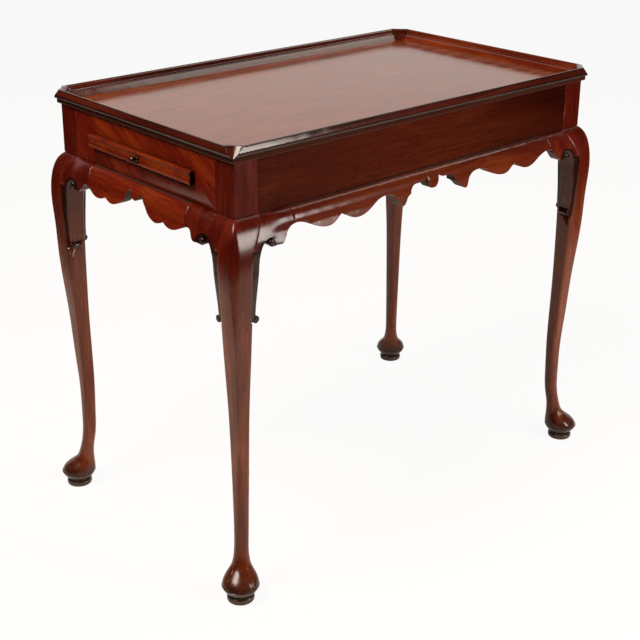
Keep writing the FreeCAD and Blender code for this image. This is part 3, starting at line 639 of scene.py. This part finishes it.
eye_bm = bmesh.new()
profile_verts = [eye_bm.verts.new((radius / 1000, 0, height / 1000)) for radius, height in eye_profile]
for first, second in zip(profile_verts, profile_verts[1:]):
    eye_bm.edges.new((first, second))
bmesh.ops.spin(eye_bm, geom=eye_bm.verts[:] + eye_bm.edges[:], cent=(0, 0, 0), axis=(0, 0, 1),
               angle=math.tau, steps=40, use_merge=True)
bmesh.ops.remove_doubles(eye_bm, verts=eye_bm.verts, dist=1e-6)
open_edges = [edge for edge in eye_bm.edges if edge.is_boundary]
bmesh.ops.holes_fill(eye_bm, edges=open_edges, sides=0)
for vert in eye_bm.verts:
    radius = math.hypot(vert.co.x, vert.co.y)
    if spiral_start < radius < spiral_end:
        turn = math.atan2(vert.co.y, vert.co.x) - math.tau * radius / spiral_pitch
        depth = spiral_cut * min(1.0, (spiral_end - radius) / spiral_fade)
        vert.co.z += depth * math.cos(turn)
bmesh.ops.recalc_face_normals(eye_bm, faces=eye_bm.faces)
for face in eye_bm.faces:
    face.smooth = True
one_eye = bpy.data.meshes.new("one_eye")
eye_bm.to_mesh(one_eye)
eye_bm.free()

# Nearly black, and so glossy that it shows mostly as bright points.
carved_wood = scraped_wood("mahogany_carved_dark", 2, "#1A0905", "#240C06", "#34120A", 8.0,
                           roughness=0.12)


def carve_on_brackets(name, mesh, inwards, drop, reach):
    """Puts the mesh on all eight brackets: inwards from the frieze corner, down from the frieze and
    out from its face, with its Z outward. Then it is one piece of dark carving."""
    bm = bmesh.new()
    for x_side in (-1, 1):
        for y_side in (-1, 1):
            on_long_side = (x_side * (half_length - inwards), y_side * (half_width + reach))
            on_end = (x_side * (half_length + reach), y_side * (half_width - inwards))
            for outward, place in (((0, y_side, 0), on_long_side), ((x_side, 0, 0), on_end)):
                old_verts = set(bm.verts)
                bm.from_mesh(mesh)
                new_verts = [vert for vert in bm.verts if vert not in old_verts]
                turn = Vector(outward).to_track_quat("Z", "Y").to_matrix().to_4x4()
                move = Matrix.Translation((*place, frieze_bottom - drop))
                bmesh.ops.transform(bm, matrix=move @ turn, verts=new_verts)
    carved_mesh = bpy.data.meshes.new(name)
    bm.to_mesh(carved_mesh)
    bm.free()
    bpy.data.meshes.remove(mesh)
    carved_mesh.materials.append(carved_wood)
    carved = bpy.data.objects.new(name, carved_mesh)
    scene.collection.objects.link(carved)
    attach(carved, "table")


carve_on_brackets("carved_scroll_eyes", one_eye, *eye_place)

# The roll at the foot of the band, a short turned-over scroll that lies across the bracket's edge.
# Its outer end, hollowed in a ring round a low button, lies roll_end out from the frieze's face.
roll_radius = 0.0054
roll_length = 0.0165
roll_inwards = 0.0232
roll_drop = 0.146
roll_end = 0.0136
ring_width = 0.0018
ring_depth = 0.0006
button_step = 0.0006
button_height = 0.0009
roll_ease = 0.0004
# Radians between two faces, past which an edge is rounded.
roll_edge_angle = 0.9

roll_bm = bmesh.new()
bmesh.ops.create_cone(roll_bm, cap_ends=True, segments=40, radius1=roll_radius, radius2=roll_radius,
                      depth=roll_length)
outer_end = [face for face in roll_bm.faces if face.normal.z > 0.9]
bmesh.ops.inset_region(roll_bm, faces=outer_end, thickness=ring_width, depth=-ring_depth)
ring_floor = [face for face in roll_bm.faces if len(face.verts) > 4 and face.normal.z > 0.9]
bmesh.ops.inset_region(roll_bm, faces=ring_floor, thickness=button_step, depth=button_height)
arrises = [edge for edge in roll_bm.edges if edge.calc_face_angle() > roll_edge_angle]
bmesh.ops.bevel(roll_bm, geom=arrises, offset=roll_ease, segments=3, profile=0.5, affect="EDGES",
                clamp_overlap=True, material=-1)
for face in roll_bm.faces:
    face.smooth = True
one_roll = bpy.data.meshes.new("one_roll")
roll_bm.to_mesh(one_roll)
roll_bm.free()
carve_on_brackets("carved_rolls", one_roll, roll_inwards, roll_drop, roll_end - roll_length / 2)


# ---------------------------------------------------------------- the candle slides
# A thin mahogany board that draws out at each end, faced with a moulded strip. A small turned
# brass knob pulls it, and a pin under the tray stops it.

slide_ease = 0.0003
strip_back = half_length + 0.0005


def strip_is_worn(edge):
    """Every edge of the strip but those on its back."""
    return not all(abs(vert.co.x) < strip_back for vert in edge.verts)


# The board has kept its fresh colour inside. The strip is flamed, and its end that faces the front is
# painted nearly black as painted shade.
slide_wood = scraped_wood("mahogany_slide_board", 1, "#5A1606", "#74200A", "#92380E", 22.0)
strip_wood = scraped_wood("mahogany_slide_strip", 1, "#3E0C04", "#5E1806", "#80330C", 60.0,
                          figure=0.5)
# Painted shade on the strip's end that faces the front.
darken_facing(strip_wood, "Y", -0.5, -0.8, "#0C0404")
for side in ("left", "right"):
    finish_nodes(slide_wood, "slide_board_" + side, "slide_stop_" + side)
    eased_copy("slide_strip_" + side, slide_ease, strip_wood, strip_is_worn, side + "_slide")

# Turned brass, gone dark brown with age and brightest where fingers rub it.
aged_brass, brass_output = new_material("brass_turned_and_darkened")
tree = aged_brass.node_tree
place = add_node(tree, "ShaderNodeTexCoord")
patches = add_node(tree, "ShaderNodeTexNoise", None, {
    "Vector": place.outputs["Object"], "Scale": 1 / 0.003, "Detail": 3.0})
tarnish = add_node(tree, "ShaderNodeValToRGB", None, {"Fac": patches.outputs["Fac"]})
tarnish.color_ramp.elements[0].position = 0.35
tarnish.color_ramp.elements[0].color = linear("#1C1410")
tarnish.color_ramp.elements[1].position = 0.70
tarnish.color_ramp.elements[1].color = linear("#5C4838")
dullness = add_node(tree, "ShaderNodeMapRange", None, {
    "Value": patches.outputs["Fac"], "From Min": 0.3, "From Max": 0.7, "To Min": 0.45, "To Max": 0.28})
shader = add_node(tree, "ShaderNodeBsdfPrincipled", None, {
    "Base Color": tarnish.outputs["Color"], "Roughness": dullness.outputs[0], "Metallic": 1.0})
tree.links.new(shader.outputs[0], brass_output.inputs["Surface"])
finish_nodes(aged_brass, "slide_knob_left", "slide_knob_right")


# ---------------------------------------------------------------- inside the frame
# Guides, a bearer and glue blocks in planed, unpolished oak, never meant to be seen.

inner_wood = scraped_wood("oak_planed_unpolished", 0, "#6A4A2E", "#806040", "#94744E", 20.0,
                          roughness=0.6)
finish_nodes(inner_wood, "slide_guide_front", "slide_guide_back", "slide_bearer", "top_glue_blocks",
             "apron_glue_blocks")
